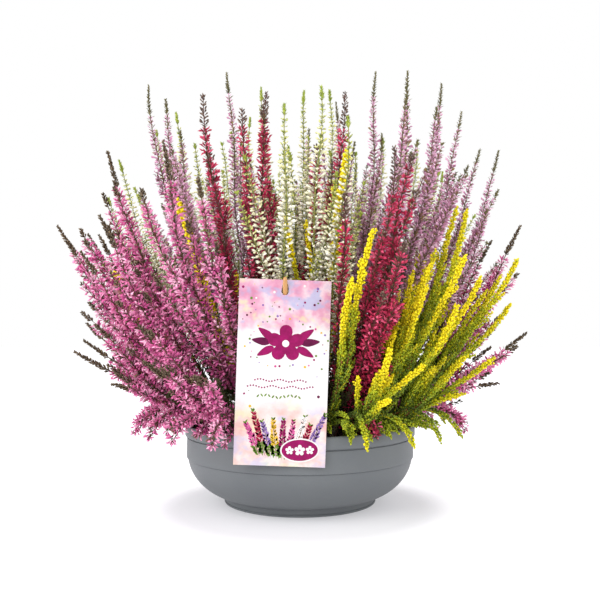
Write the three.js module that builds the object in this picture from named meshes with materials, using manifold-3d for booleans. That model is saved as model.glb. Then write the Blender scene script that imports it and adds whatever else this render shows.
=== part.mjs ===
// A bowl of mixed heather: a round plastic planter filled with soil, heather plants of five colours
// that fan out into a dome, and a card tag that hangs on a wooden stick at the front.
// Millimetres, +Z up. The origin is the centre of the bowl's foot, on the surface it stands on.
// The front, with the tag, faces -Y.

import * as THREE from "three";
import { mergeVertices } from "three/addons/utils/BufferGeometryUtils.js";
import Module from "manifold-3d";

const wasm = await Module();
wasm.setup();

const GAP = 0.35; // clearance between pieces that touch
const DEGREE = Math.PI / 180;

// Bowl
const RIM_RADIUS = 113.5;
const BOWL_HEIGHT = 78;
const FOOT_RADIUS = 74.5;
const FOOT_HEIGHT = 5.5;
const WALL = 2.6;
const LEDGE_HEIGHT = 45.5; // the wall steps out here, a little over half-way up
const BAND_HEIGHT = 10.5; // the rim band stands proud of the wall
const STEP = 1.2; // how far the ledge and the band step out
const RIM_THICKNESS = 3.6;
const LIP = 2; // how far down the rim's rounding starts
const BOWL_SIDES = 28;
const DRAIN_COUNT = 4;
const DRAIN_RADIUS = 5;
const DRAIN_CIRCLE = 42;

// Soil
const SOIL_HEIGHT = 66;

// Tag and stick
const TAG_WIDTH = 78;
const TAG_HEIGHT = 158;
const TAG_THICKNESS = 0.8;
const TAG_CENTRE = new THREE.Vector3(-15, -114.3, 133);
const TAG_ROLL = 2 * DEGREE; // turned a little clockwise, seen from the front
const SLOT_RADIUS_LOW = 3.2;
const SLOT_RADIUS_HIGH = 2.6;
const SLOT_LENGTH = 10.6;
const SLOT_DOWN = 7.8; // from the tag's top edge to the slot's middle
const STICK_RADIUS = 2.1;
const STICK_LEAN = 30 * DEGREE;
const STICK_BURIED = 30;
const STICK_PROUD = 11; // how far the stick runs on past the slot
const STICK_SIDES = 8;

// The sprays follow the lines of one field, so that they fan out and never cross. A line is named
// by its share out (0 in the middle of the bowl, 1 at the rim) and its azimuth.
const DEPTH_SHARE = 0.76; // the fan is this much shallower, front to back, than it is wide
const BACK_TALLER = 0.06; // the sprays at the back are this much longer, at the front shorter
const SPREAD_OVER = 150; // the sprays of one plant part from each other over this length
const ROOT_RADIUS = [[0, 0], [0.2, 26], [0.385, 46], [0.56, 61], [0.74, 73], [0.91, 80.5], [1, 83]];
const LEAN_AT_SOIL = [[0, 0], [0.2, 14], [0.385, 28], [0.56, 40], [0.74, 50], [0.91, 56.5], [1, 60]];
const LEAN_AT_TIP = [[0, 0], [0.2, 2], [0.385, 5], [0.56, 12], [0.74, 25], [0.85, 42], [0.91, 58], [1, 105]];
const REACH = [
  [0, 338], [0.2, 348], [0.385, 346], [0.56, 305], [0.74, 268], [0.85, 212], [0.91, 172], [1, 98],
];

// A plant has one main spray, rooted in the soil, and side sprays that branch off it. Its leaves and
// florets stand in four ranks, two by two, on a slim core.
const STEM_RADIUS = 1.8;
const BRANCH_RADIUS = 1.35;
const STEM_BURIED = 9;
const BRANCH_HEIGHT = 14;
const LEAFY_FROM = 18;
const RANKS = 4;
const CORE_SHARE = 0.36;
const CORE_LEAST = 1.1;
const ROW_LIFT = 0.45; // leaves point up by this share of their length
const ROOM_AT_SOIL = 3; // neighbours leave this much room at the soil, and more further up
const ROOM_PER_MM = 0.1;
const SIDE_SPRAY_LEAST = 0.8; // side sprays have this share of the plant's reach, or up to 0.17 more
const SIDE_SPRAY_SPREAD = 0.17;

// Each kind of heather: its colour, how long it grows against REACH, how wide its spray is low down,
// in the middle and at the unopened tip, and how much of the spray that tip takes.
const KINDS = {
  p: { name: "pink", colour: 0xc9589b, grows: 1.0, low: 14, middle: 8.5, tip: 3.4, tipShare: 0.16 },
  l: { name: "lilac", colour: 0xc596bd, grows: 1.05, low: 12, middle: 6.5, tip: 2.4, tipShare: 0.14 },
  w: { name: "white", colour: 0xe9ead2, grows: 1.0, low: 12, middle: 7.0, tip: 2.8, tipShare: 0.2 },
  c: { name: "crimson", colour: 0xb12850, grows: 1.0, low: 13, middle: 7.8, tip: 4.2, tipShare: 0.16 },
  y: { name: "yellow", colour: 0xe6cf12, grows: 0.84, low: 16, middle: 9.5, tip: 4.4, tipShare: 0.12 },
};

// The plants stand in rings, one letter for each, anticlockwise seen from above. The outer rings
// leave the sector behind the tag free, where a few short plants stand instead. The plants of the
// outermost ring also have skirt sprays that hang over the bowl's rim. Single plants fill gaps
// between the rings, and the last row is a clump at the front, beside the tag. rows counts the rows
// of leaves on a main spray; a side spray has SIDE_ROWS_FEWER.
const RINGS = [
  { share: 0.0, from: 60, to: 60, kinds: "w", sprays: 3, rows: 8 },
  { share: 0.2, from: -60, to: 240, kinds: "clwwlc", sprays: 3, rows: 7 },
  { share: 0.385, from: -84, to: 236, kinds: "wllwlwwlc", sprays: 3, rows: 7 },
  { share: 0.56, from: -67, to: 233, kinds: "cylwlwlwpp", sprays: 3, rows: 6 },
  { share: 0.74, from: -47, to: 221, kinds: "yyplclwppp", sprays: 3, rows: 6 },
  { share: 0.91, from: -62, to: 235, kinds: "yypypwylppp", sprays: 3, rows: 5, skirts: 2 },
  { share: 0.29, from: -68, to: -68, kinds: "y", sprays: 1, rows: 6, longest: 250 },
  { share: 0.4, from: -142, to: -142, kinds: "y", sprays: 1, rows: 6, longest: 235 },
  { share: 0.65, from: 179, to: 179, kinds: "y", sprays: 1, rows: 6, longest: 215 },
  { share: 0.5, from: -112, to: -82, kinds: "pcy", sprays: 1, rows: 4, longest: 100 },
  { share: 0.66, from: -73.5, to: -54, kinds: "ycy", sprays: 2, rows: 5, longest: 215 },
];
const SIDE_ROWS_FEWER = 2;
const SPREAD_IN_SHARE = 0.055; // how far a plant's side sprays move out of or into its ring
const SPREAD_IN_STEP = 0.31; // and to either side, as a share of the ring's step
const MAIN_SPREAD = 0.25; // the main spray moves by this part of both
const SHARE_MOST = 0.95; // a line further out would cut the rim

const SEED = 4047;

const SKIRT_LENGTH = 104;
const SKIRT_ROOT = 6; // how far up the plant's stem a skirt spray starts
const SKIRT_LEAFY_FROM = 34;
const SKIRT_ROWS = 4;
const SKIRT_LEANS = [20, 160]; // a skirt spray's lean from the vertical where it starts and ends
const SKIRT_SPREAD = 17 * DEGREE; // the two skirt sprays of a plant point this far to either side
const SKIRT_WIDTH = 12;
const SKIRT_DEPTH = 7;

// A sequence of even draws from 0 to 1 that is the same on every run, one for each plant.
function draws(number) {
  let state = SEED + 7919 * number;
  return () => {
    state = (state * 16807) % 2147483647;
    return state / 2147483647;
  };
}

// Straight-line interpolation in a table of [place, value] pairs.
function between(table, place) {
  const last = table.length - 1;
  if (place >= table[last][0]) return table[last][1];
  const i = Math.max(1, table.findIndex(([x]) => x > place));
  const [x0, y0] = table[i - 1];
  const [x1, y1] = table[i];
  return y0 + ((y1 - y0) * (place - x0)) / (x1 - x0);
}

const smooth = (t) => {
  const c = Math.min(1, Math.max(0, t));
  return c * c * (3 - 2 * c);
};

// The point at a distance along the field line with this share out and azimuth, from the soil up.
function fieldPoint(share, azimuth, along) {
  const start = between(LEAN_AT_SOIL, share) * DEGREE;
  const end = between(LEAN_AT_TIP, share) * DEGREE;
  const bend = (end - start) / between(REACH, share) || 1e-9;
  const lean = start + bend * along;
  const out = (Math.cos(start) - Math.cos(lean)) / bend;
  const up = (Math.sin(lean) - Math.sin(start)) / bend;
  const root = between(ROOT_RADIUS, share);
  return new THREE.Vector3(
    Math.cos(azimuth) * (root + out),
    Math.sin(azimuth) * (root + out * DEPTH_SHARE),
    SOIL_HEIGHT + up,
  );
}

// A skirt spray's course: up from low on its plant's stem, over the rim and down again.
function skirtPoint(plant, spray, along) {
  const [start, end] = SKIRT_LEANS.map((lean) => lean * DEGREE);
  const bend = (end - start) / SKIRT_LENGTH;
  const lean = start + bend * along;
  const out = (Math.cos(start) - Math.cos(lean)) / bend;
  const up = (Math.sin(lean) - Math.sin(start)) / bend;
  return fieldPoint(plant.share, plant.azimuth, SKIRT_ROOT).add(new THREE.Vector3(
    Math.cos(spray.azimuth) * out, Math.sin(spray.azimuth) * out * DEPTH_SHARE, up));
}

// The course of one spray: it starts on its plant's own line and moves over to its own.
function sprayPoint(plant, spray, along) {
  if (spray.skirt) return skirtPoint(plant, spray, along);
  const root = fieldPoint(plant.share, plant.azimuth, 0);
  if (along < 0) {
    const ahead = fieldPoint(plant.share, plant.azimuth, 1).sub(root).normalize();
    return root.addScaledVector(ahead, along);
  }
  const moved = smooth(along / SPREAD_OVER);
  const share = plant.share + (spray.share - plant.share) * moved;
  const azimuth = plant.azimuth + (spray.azimuth - plant.azimuth) * moved;
  return fieldPoint(share, azimuth, along);
}

// The corners of a spray's cross-section at a distance along it. radii holds one for each corner,
// and lift moves the furthest corners on towards the tip.
function section(plant, spray, along, radii, lift = 0) {
  const centre = sprayPoint(plant, spray, along);
  const forward = sprayPoint(plant, spray, along + 1).sub(centre).normalize();
  const across = new THREE.Vector3(-Math.sin(spray.azimuth), Math.cos(spray.azimuth), 0);
  across.addScaledVector(forward, -across.dot(forward)).normalize();
  const other = new THREE.Vector3().crossVectors(forward, across);
  const furthest = Math.max(...radii);
  return radii.map((radius, corner) => {
    const turn = spray.turn + (corner * 2 * Math.PI) / radii.length;
    return centre.clone()
      .addScaledVector(across, radius * Math.cos(turn))
      .addScaledVector(other, radius * Math.sin(turn))
      .addScaledVector(forward, radius === furthest ? lift : 0);
  });
}

const stemSection = (plant, spray, along, radius) =>
  section(plant, spray, along, Array(RANKS).fill(radius));

// A closed solid through a row of cross-sections with the same number of corners, ending in a point
// or in a flat face. Each four-cornered patch is split so that its outer corners stand as peaks.
function skin(sections, point) {
  const n = sections[0].length;
  const positions = sections.flat().flatMap((v) => [v.x, v.y, v.z]);
  const faces = [];
  const at = (ring, corner) => ring * n + (corner % n);
  for (let k = 1; k < n - 1; k++) faces.push(at(0, 0), at(0, k + 1), at(0, k));
  for (let i = 0; i + 1 < sections.length; i++) {
    for (let j = 0; j < n; j++) {
      const [a, b, c, d] = [at(i, j), at(i, j + 1), at(i + 1, j + 1), at(i + 1, j)];
      if ((i + j) % 2) faces.push(a, b, c, a, c, d);
      else faces.push(a, b, d, b, c, d);
    }
  }
  const last = sections.length - 1;
  if (point) {
    positions.push(point.x, point.y, point.z);
    for (let j = 0; j < n; j++) faces.push(at(last, j), at(last, j + 1), n * sections.length);
  } else {
    for (let k = 1; k < n - 1; k++) faces.push(at(last, 0), at(last, k), at(last, k + 1));
  }
  const geometry = new THREE.BufferGeometry();
  geometry.setAttribute("position", new THREE.Float32BufferAttribute(positions, 3));
  geometry.setIndex(faces);
  return geometry;
}

function solid(geometry) {
  const bare = geometry.clone();
  bare.deleteAttribute("normal");
  bare.deleteAttribute("uv");
  const merged = mergeVertices(bare, 1e-4);
  return new wasm.Manifold(new wasm.Mesh({
    numProp: 3,
    vertProperties: new Float32Array(merged.attributes.position.array),
    triVerts: new Uint32Array(merged.index.array),
  }));
}

function geometryOf(manifold) {
  const { vertProperties, triVerts, numProp } = manifold.getMesh();
  const geometry = new THREE.BufferGeometry();
  const positions = [];
  for (let i = 0; i < vertProperties.length; i += numProp) {
    positions.push(...vertProperties.subarray(i, i + 3));
  }
  geometry.setAttribute("position", new THREE.Float32BufferAttribute(positions, 3));
  geometry.setIndex([...triVerts]);
  geometry.computeVertexNormals();
  return geometry;
}

// The width of a spray at a distance along it: bushy low down where the plant has room, then an
// even spike, then a slim unopened tip.
function sprayWidth(kind, spray, along) {
  const { low, middle, tip, tipShare } = kind;
  const t = along / spray.length;
  const room = ROOM_AT_SOIL + ROOM_PER_MM * along;
  const spike = low + (middle - low) * smooth((t - 0.3) / 0.35);
  const width = spike + (tip - spike) * smooth((t - (1 - 1.9 * tipShare)) / (1.1 * tipShare));
  return Math.min(width, room);
}

// The corner distances of a row of leaves or florets: two opposite corners stand out, two are in,
// and the next row has them the other way round.
function rowRadii(kind, spray, along, row) {
  const width = sprayWidth(kind, spray, along);
  const core = Math.max(CORE_LEAST, CORE_SHARE * width);
  return row % 2 ? [core, width, core, width] : [width, core, width, core];
}

// The same for a skirt spray, which is flat, with its leaves mostly to the sides.
function skirtRadii(along, row) {
  const t = (along - SKIRT_LEAFY_FROM) / (SKIRT_LENGTH - SKIRT_LEAFY_FROM);
  const taper = Math.min(0.45 + 2 * t, 1, 1.55 - t);
  const [wide, deep] = row % 2 ? [0.62 * SKIRT_WIDTH, SKIRT_DEPTH] : [SKIRT_WIDTH, 0.6 * SKIRT_DEPTH];
  return [wide, deep, wide, deep].map((radius) => radius * taper);
}

function spraySolid(plant, spray) {
  const kind = KINDS[plant.kind];
  const sections = [stemSection(plant, spray, spray.rootedAt, spray.stem)];
  if (spray.rootedAt < 0) sections.push(stemSection(plant, spray, spray.leafyFrom - 5, spray.stem));
  for (let row = 0; row < spray.rows; row++) {
    const rowShare = (row + 0.4) / (spray.rows + 0.3);
    const along = spray.leafyFrom + (spray.length - spray.leafyFrom) * rowShare;
    const radii = spray.skirt
      ? skirtRadii(along, sections.length)
      : rowRadii(kind, spray, along, sections.length);
    sections.push(section(plant, spray, along, radii, ROW_LIFT * Math.max(...radii)));
  }
  return solid(skin(sections, sprayPoint(plant, spray, spray.length)));
}

// Where a side spray has moved clear of the plant's main spray, so that its leaves can start.
function clearFrom(plant, spray, main) {
  const kind = KINDS[plant.kind];
  const latest = 0.6 * spray.length;
  for (let along = 40; along < latest; along += 4) {
    const apart = sprayPoint(plant, spray, along).distanceTo(sprayPoint(plant, main, along));
    const needed = sprayWidth(kind, main, along) + 0.5 * sprayWidth(kind, spray, along);
    if (apart > needed) return along;
  }
  return latest;
}

// A plant's main spray and side sprays. They part evenly around the plant's own line.
function risingSprays(plant, ring, step, draw) {
  const kind = KINDS[plant.kind];
  return Array.from({ length: ring.sprays }, (_, i) => {
    const main = i === 0;
    const around = (i / ring.sprays) * 2 * Math.PI + plant.turn;
    const off = main ? MAIN_SPREAD : 1;
    const inMiddle = plant.share === 0;
    const aside = SPREAD_IN_STEP * step * off * Math.sin(around);
    const outward = SPREAD_IN_SHARE * off * Math.cos(around);
    const share = inMiddle ? SPREAD_IN_SHARE * off : Math.min(plant.share + outward, SHARE_MOST);
    const azimuth = inMiddle ? around : plant.azimuth + aside;
    const reach = between(REACH, share) * (1 + BACK_TALLER * Math.sin(azimuth)) * kind.grows;
    const sideShare = SIDE_SPRAY_LEAST + SIDE_SPRAY_SPREAD * draw();
    const longest = (ring.longest ?? Infinity) * (0.9 + 0.2 * draw());
    return {
      share,
      azimuth,
      length: Math.min(main ? reach : reach * sideShare, longest),
      turn: draw() * Math.PI,
      stem: main ? STEM_RADIUS : BRANCH_RADIUS,
      rootedAt: main ? -STEM_BURIED : BRANCH_HEIGHT,
      leafyFrom: LEAFY_FROM,
      rows: main ? ring.rows : ring.rows - SIDE_ROWS_FEWER,
    };
  });
}

function skirtSprays(plant, ring) {
  return Array.from({ length: ring.skirts ?? 0 }, (_, i) => ({
    skirt: true,
    azimuth: plant.azimuth + (2 * i - 1) * SKIRT_SPREAD,
    length: SKIRT_LENGTH,
    turn: 0,
    stem: BRANCH_RADIUS,
    rootedAt: 2,
    leafyFrom: SKIRT_LEAFY_FROM,
    rows: SKIRT_ROWS,
  }));
}

function plantSolid(plant) {
  const [main, ...others] = plant.sprays;
  let whole = spraySolid(plant, main);
  for (const spray of others) {
    if (!spray.skirt) spray.leafyFrom = clearFrom(plant, spray, main);
    whole = whole.add(spraySolid(plant, spray));
  }
  return whole;
}

// Every plant of one ring. The first is number `before` of all plants.
function ringPlants(ring, before) {
  const step = (ring.to - ring.from) * DEGREE / Math.max(1, ring.kinds.length - 1);
  return [...ring.kinds].map((kind, i) => {
    const draw = draws(before + i);
    const plant = {
      kind,
      share: ring.share,
      azimuth: ring.from * DEGREE + step * i,
      turn: draw() * 2 * Math.PI,
    };
    plant.sprays = [...risingSprays(plant, ring, step, draw), ...skirtSprays(plant, ring)];
    return plant;
  });
}

// Half-profiles of the bowl, as [radius, height] pairs.
const bodyRadius = (height) => 60 + 51 * Math.sqrt(1 - ((50 - height) / 45) ** 2);
const INNER_LOW = WALL + 4;
const INNER_HIGH = LEDGE_HEIGHT + 2;
const innerRim = [RIM_RADIUS - RIM_THICKNESS, BOWL_HEIGHT - LIP];

function wallCurve(from, to, points, inset) {
  return Array.from({ length: points }, (_, i) => {
    const height = from + ((to - from) * i) / (points - 1);
    return [bodyRadius(height) - inset, height];
  });
}

function bowlProfile() {
  const bandFrom = BOWL_HEIGHT - BAND_HEIGHT;
  return [
    [0, 0],
    [FOOT_RADIUS - 1.5, 0],
    [FOOT_RADIUS, 1.8],
    [FOOT_RADIUS, FOOT_HEIGHT - 0.5],
    [FOOT_RADIUS - 1.2, FOOT_HEIGHT],
    ...wallCurve(FOOT_HEIGHT + 1.5, LEDGE_HEIGHT, 5, 0),
    [bodyRadius(LEDGE_HEIGHT) + STEP, LEDGE_HEIGHT + 0.6],
    [RIM_RADIUS - STEP - 0.6, bandFrom - 0.4],
    [RIM_RADIUS, bandFrom],
    [RIM_RADIUS, BOWL_HEIGHT - LIP],
    [RIM_RADIUS - 1.2, BOWL_HEIGHT],
    [RIM_RADIUS - RIM_THICKNESS + 0.8, BOWL_HEIGHT],
    innerRim,
    ...wallCurve(INNER_LOW, INNER_HIGH, 3, WALL).reverse(),
    [FOOT_RADIUS - 4, WALL],
    [0, WALL],
  ];
}

// The soil fills the bowl up to its height, a little clear of the wall.
function soilProfile() {
  const wall = [[bodyRadius(INNER_HIGH) - WALL, INNER_HIGH], innerRim];
  const wallAtTop = between(wall.map(([radius, height]) => [height, radius]), SOIL_HEIGHT);
  return [
    [0, WALL + GAP],
    [FOOT_RADIUS - 4 - GAP, WALL + GAP],
    ...wallCurve(INNER_LOW, INNER_HIGH, 3, WALL + GAP),
    [wallAtTop - GAP, SOIL_HEIGHT],
    [0, SOIL_HEIGHT],
  ];
}

const lathe = (profile) => new THREE.LatheGeometry(
  profile.map(([radius, height]) => new THREE.Vector2(radius, height)), BOWL_SIDES,
).rotateX(Math.PI / 2);

function cylinder(radius, from, to, x, y, sides) {
  return new THREE.CylinderGeometry(radius, radius, to - from, sides)
    .rotateX(Math.PI / 2)
    .translate(x, y, (from + to) / 2);
}

function bowlSolid() {
  let bowl = solid(lathe(bowlProfile()));
  for (let i = 0; i < DRAIN_COUNT; i++) {
    const turn = ((i + 0.5) * 2 * Math.PI) / DRAIN_COUNT;
    const [x, y] = [DRAIN_CIRCLE * Math.cos(turn), DRAIN_CIRCLE * Math.sin(turn)];
    bowl = bowl.subtract(solid(cylinder(DRAIN_RADIUS, -1, WALL + 1, x, y, 8)));
  }
  return bowl;
}

// The hole that a plant's stem stands in: the stem's own section, a little wider.
function stemHole(plant) {
  const radius = STEM_RADIUS + GAP * Math.SQRT2;
  const ends = [-STEM_BURIED - GAP, 5];
  return solid(skin(ends.map((along) => stemSection(plant, plant.sprays[0], along, radius))));
}

// The stick's middle line: it starts in the soil, runs up and forward through the tag's slot.
function stickEnds() {
  const along = new THREE.Vector3(0, -Math.sin(STICK_LEAN), Math.cos(STICK_LEAN));
  const slotUp = TAG_HEIGHT / 2 - SLOT_DOWN;
  const slot = TAG_CENTRE.clone().add(
    new THREE.Vector3(slotUp * Math.sin(TAG_ROLL), 0, slotUp * Math.cos(TAG_ROLL)));
  const toSoil = (slot.z - SOIL_HEIGHT) / along.z;
  return {
    along,
    low: slot.clone().addScaledVector(along, -toSoil - STICK_BURIED),
    high: slot.clone().addScaledVector(along, STICK_PROUD),
  };
}

// A round rod between two points that narrows over its last stretch.
function rod(low, high, radius, nose) {
  const length = low.distanceTo(high);
  const profile = [[0, 0], [radius, 0], [radius, length - nose], [radius * 0.45, length], [0, length]];
  const geometry = new THREE.LatheGeometry(
    profile.map(([r, z]) => new THREE.Vector2(r, z)), STICK_SIDES);
  const turn = new THREE.Quaternion().setFromUnitVectors(
    new THREE.Vector3(0, 1, 0), high.clone().sub(low).normalize());
  return solid(geometry.applyQuaternion(turn).translate(low.x, low.y, low.z));
}

function stickSolid() {
  const { low, high } = stickEnds();
  return rod(low, high, STICK_RADIUS, 3);
}

function stickHole() {
  const { along, low } = stickEnds();
  const start = low.clone().addScaledVector(along, -GAP);
  const end = start.clone().addScaledVector(along, STICK_BURIED + 12);
  return rod(start, end, STICK_RADIUS + GAP, 1);
}

function soilSolid(plants) {
  let soil = solid(lathe(soilProfile())).subtract(stickHole());
  for (const plant of plants) soil = soil.subtract(stemHole(plant));
  return soil;
}

function tagGeometry() {
  const [halfWidth, halfHeight] = [TAG_WIDTH / 2, TAG_HEIGHT / 2];
  const outline = new THREE.Shape([
    new THREE.Vector2(-halfWidth, -halfHeight),
    new THREE.Vector2(halfWidth, -halfHeight),
    new THREE.Vector2(halfWidth, halfHeight),
    new THREE.Vector2(-halfWidth, halfHeight),
  ]);
  const slotMiddle = halfHeight - SLOT_DOWN;
  const slot = new THREE.Path();
  slot.absarc(0, slotMiddle + SLOT_LENGTH / 2 - SLOT_RADIUS_HIGH, SLOT_RADIUS_HIGH, 0, Math.PI);
  slot.absarc(0, slotMiddle - SLOT_LENGTH / 2 + SLOT_RADIUS_LOW, SLOT_RADIUS_LOW, Math.PI, 2 * Math.PI);
  outline.holes.push(slot);
  return new THREE.ExtrudeGeometry(outline, {
    depth: TAG_THICKNESS, bevelEnabled: false, curveSegments: 4,
  })
    .translate(0, 0, -TAG_THICKNESS / 2)
    .rotateX(Math.PI / 2)
    .rotateY(TAG_ROLL)
    .translate(TAG_CENTRE.x, TAG_CENTRE.y, TAG_CENTRE.z);
}

function piece(name, geometry, colour, roughness) {
  const mesh = new THREE.Mesh(
    geometry, new THREE.MeshStandardMaterial({ color: colour, roughness, metalness: 0 }));
  mesh.name = name;
  return mesh;
}

const plants = [];
RINGS.forEach((ring) => plants.push(...ringPlants(ring, plants.length)));

const heather = new THREE.Group();
heather.add(piece("bowl", geometryOf(bowlSolid()), 0x83898b, 0.55));
heather.add(piece("soil", geometryOf(soilSolid(plants)), 0x2b211a, 0.95));
heather.add(piece("tag", tagGeometry(), 0xf3dfe0, 0.6));
heather.add(piece("tag_stick", geometryOf(stickSolid()), 0xd2a674, 0.7));
plants.forEach((plant, i) => {
  const kind = KINDS[plant.kind];
  const name = `heather_${kind.name}_${String(i + 1).padStart(2, "0")}`;
  heather.add(piece(name, geometryOf(plantSolid(plant)), kind.colour, 0.8));
});

export default heather;
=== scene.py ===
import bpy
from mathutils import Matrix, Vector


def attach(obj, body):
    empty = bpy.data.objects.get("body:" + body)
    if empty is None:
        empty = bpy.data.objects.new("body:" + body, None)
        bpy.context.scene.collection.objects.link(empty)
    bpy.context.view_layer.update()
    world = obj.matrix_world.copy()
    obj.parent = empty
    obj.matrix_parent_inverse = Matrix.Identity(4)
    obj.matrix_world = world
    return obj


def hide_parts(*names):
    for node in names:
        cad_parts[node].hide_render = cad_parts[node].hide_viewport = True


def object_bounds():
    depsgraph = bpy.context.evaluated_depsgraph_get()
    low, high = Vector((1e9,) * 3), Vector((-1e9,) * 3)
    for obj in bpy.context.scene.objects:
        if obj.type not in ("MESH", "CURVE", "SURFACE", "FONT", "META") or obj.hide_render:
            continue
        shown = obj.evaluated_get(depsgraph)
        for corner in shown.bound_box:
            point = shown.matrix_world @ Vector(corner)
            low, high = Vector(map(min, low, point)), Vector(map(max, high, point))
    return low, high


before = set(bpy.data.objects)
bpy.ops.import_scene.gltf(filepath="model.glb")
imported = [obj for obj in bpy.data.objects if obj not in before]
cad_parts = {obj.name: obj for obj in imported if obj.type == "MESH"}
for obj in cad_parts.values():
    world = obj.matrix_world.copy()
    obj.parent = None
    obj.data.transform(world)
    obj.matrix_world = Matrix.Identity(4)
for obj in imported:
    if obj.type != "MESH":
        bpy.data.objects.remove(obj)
CAD_BOX = [list(corner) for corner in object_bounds()]

# A bowl of mixed heather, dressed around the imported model. Lengths are in millimetres up to
# the point where a mesh is made, which is in metres. The front, with the tag, faces -Y.
import math
from collections import namedtuple
from types import SimpleNamespace

import bpy
import numpy as np
from mathutils import Vector, noise

MM = 0.001
DEGREE = math.pi / 180
UV_NAME = "OFBake"
SEED = 4047
NAMES = {"p": "pink", "l": "lilac", "w": "white", "c": "crimson", "y": "yellow"}


def table(*pairs):
    """Places and values, as np.interp takes them."""
    return np.array(pairs).T


# Layout, as in the part's source. The sprays follow the lines of one field. A line is named by
# its share out (0 in the middle of the bowl, 1 at the rim) and its azimuth.
SOIL_HEIGHT = 66.0
DEPTH_SHARE = 0.76  # the fan is this much shallower, front to back, than it is wide
BACK_TALLER = 0.06  # the sprays at the back are this much longer, at the front shorter
SPREAD_OVER = 150.0  # the sprays of one plant part from each other over this length
ROOT_RADIUS = table((0, 0), (0.2, 26), (0.385, 46), (0.56, 61), (0.74, 73), (0.91, 80.5), (1, 83))
LEAN_AT_SOIL = table((0, 0), (0.2, 14), (0.385, 28), (0.56, 40), (0.74, 50), (0.91, 56.5), (1, 60))
LEAN_AT_TIP = table(
    (0, 0), (0.2, 2), (0.385, 5), (0.56, 12), (0.74, 25), (0.85, 42), (0.91, 58), (1, 105))
REACH = table(
    (0, 338), (0.2, 348), (0.385, 346), (0.56, 305), (0.74, 268), (0.85, 212), (0.91, 172), (1, 98))
GROWS = {"p": 1.0, "l": 1.05, "w": 1.0, "c": 1.0, "y": 0.84}
STEM_RADIUS = 1.8
BRANCH_RADIUS = 1.35
STEM_BURIED = 9.0
BRANCH_HEIGHT = 14.0
SIDE_SPRAY_LEAST = 0.8  # side sprays are shorter than the main one, by a share from 0.8 up
SIDE_SPRAY_SPREAD = 0.17
SPREAD_IN_SHARE = 0.055  # how far side sprays move out of or into their ring
SPREAD_IN_STEP = 0.31  # and to either side, as a share of the ring's step
MAIN_SPREAD = 0.25  # the main spray moves by this part of both
SHARE_MOST = 0.95
SKIRT_LENGTH = 104.0  # skirt sprays start low on the stem and hang over the rim
SKIRT_ROOT = 6.0
SKIRT_LEANS = (20 * DEGREE, 160 * DEGREE)
SKIRT_SPREAD = 17 * DEGREE

Ring = namedtuple("Ring", "share first last kinds sprays skirts longest", defaults=(3, 0, math.inf))
RINGS = [
    Ring(0.0, 60, 60, "w"),
    Ring(0.2, -60, 240, "clwwlc"),
    Ring(0.385, -84, 236, "wllwlwwlc"),
    Ring(0.56, -67, 233, "cylwlwlwpp"),
    Ring(0.74, -47, 221, "yyplclwppp"),
    Ring(0.91, -62, 235, "yypypwylppp", skirts=2),
    Ring(0.29, -68, -68, "y", sprays=1, longest=250),
    Ring(0.4, -142, -142, "y", sprays=1, longest=235),
    Ring(0.65, 179, 179, "y", sprays=1, longest=215),
    Ring(0.5, -112, -82, "pcy", sprays=1, longest=100),
    Ring(0.66, -73.5, -54, "ycy", sprays=2, longest=215),
]


def in_front_row(plant):
    return 0.655 < plant.share < 0.7


def draws(number):
    state = SEED + 7919 * number

    def draw():
        nonlocal state
        state = (state * 16807) % 2147483647
        return state / 2147483647
    return draw


def smooth(t):
    c = np.clip(t, 0, 1)
    return c * c * (3 - 2 * c)


def unit(v):
    return v / np.maximum(np.linalg.norm(v, axis=-1, keepdims=True), 1e-12)


def heading(turn):
    """The level direction at a turn, and the one to its left."""
    c, s = math.cos(turn), math.sin(turn)
    return np.array([c, s, 0]), np.array([-s, c, 0])


def bent(start, end, length, along):
    """How far out and up a course has come whose lean changes evenly over its length."""
    bend = (end - start) / length
    bend = np.where(np.abs(bend) < 1e-9, 1e-9, bend)
    lean = start + bend * along
    return (np.cos(start) - np.cos(lean)) / bend, (np.sin(lean) - np.sin(start)) / bend


def field_point(share, azimuth, along):
    """The point at a distance along the field line with this share out and azimuth."""
    start = np.interp(share, *LEAN_AT_SOIL) * DEGREE
    end = np.interp(share, *LEAN_AT_TIP) * DEGREE
    out, up = bent(start, end, np.interp(share, *REACH), along)
    root = np.interp(share, *ROOT_RADIUS)
    return np.stack([
        np.cos(azimuth) * (root + out),
        np.sin(azimuth) * (root + out * DEPTH_SHARE),
        SOIL_HEIGHT + up], -1)


def spray_points(plant, spray, along):
    if spray.skirt:
        out, up = bent(*SKIRT_LEANS, SKIRT_LENGTH, along)
        return field_point(plant.share, plant.azimuth, SKIRT_ROOT) + np.stack([
            np.cos(spray.azimuth) * out, np.sin(spray.azimuth) * out * DEPTH_SHARE, up], -1)
    root = field_point(plant.share, plant.azimuth, 0.0)
    ahead = unit(field_point(plant.share, plant.azimuth, 1.0) - root)
    moved = smooth(along / SPREAD_OVER)
    share = plant.share + (spray.share - plant.share) * moved
    azimuth = plant.azimuth + (spray.azimuth - plant.azimuth) * moved
    above = field_point(share, azimuth, np.maximum(along, 0.0))
    return np.where(along[:, None] < 0, root + ahead * along[:, None], above)


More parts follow.
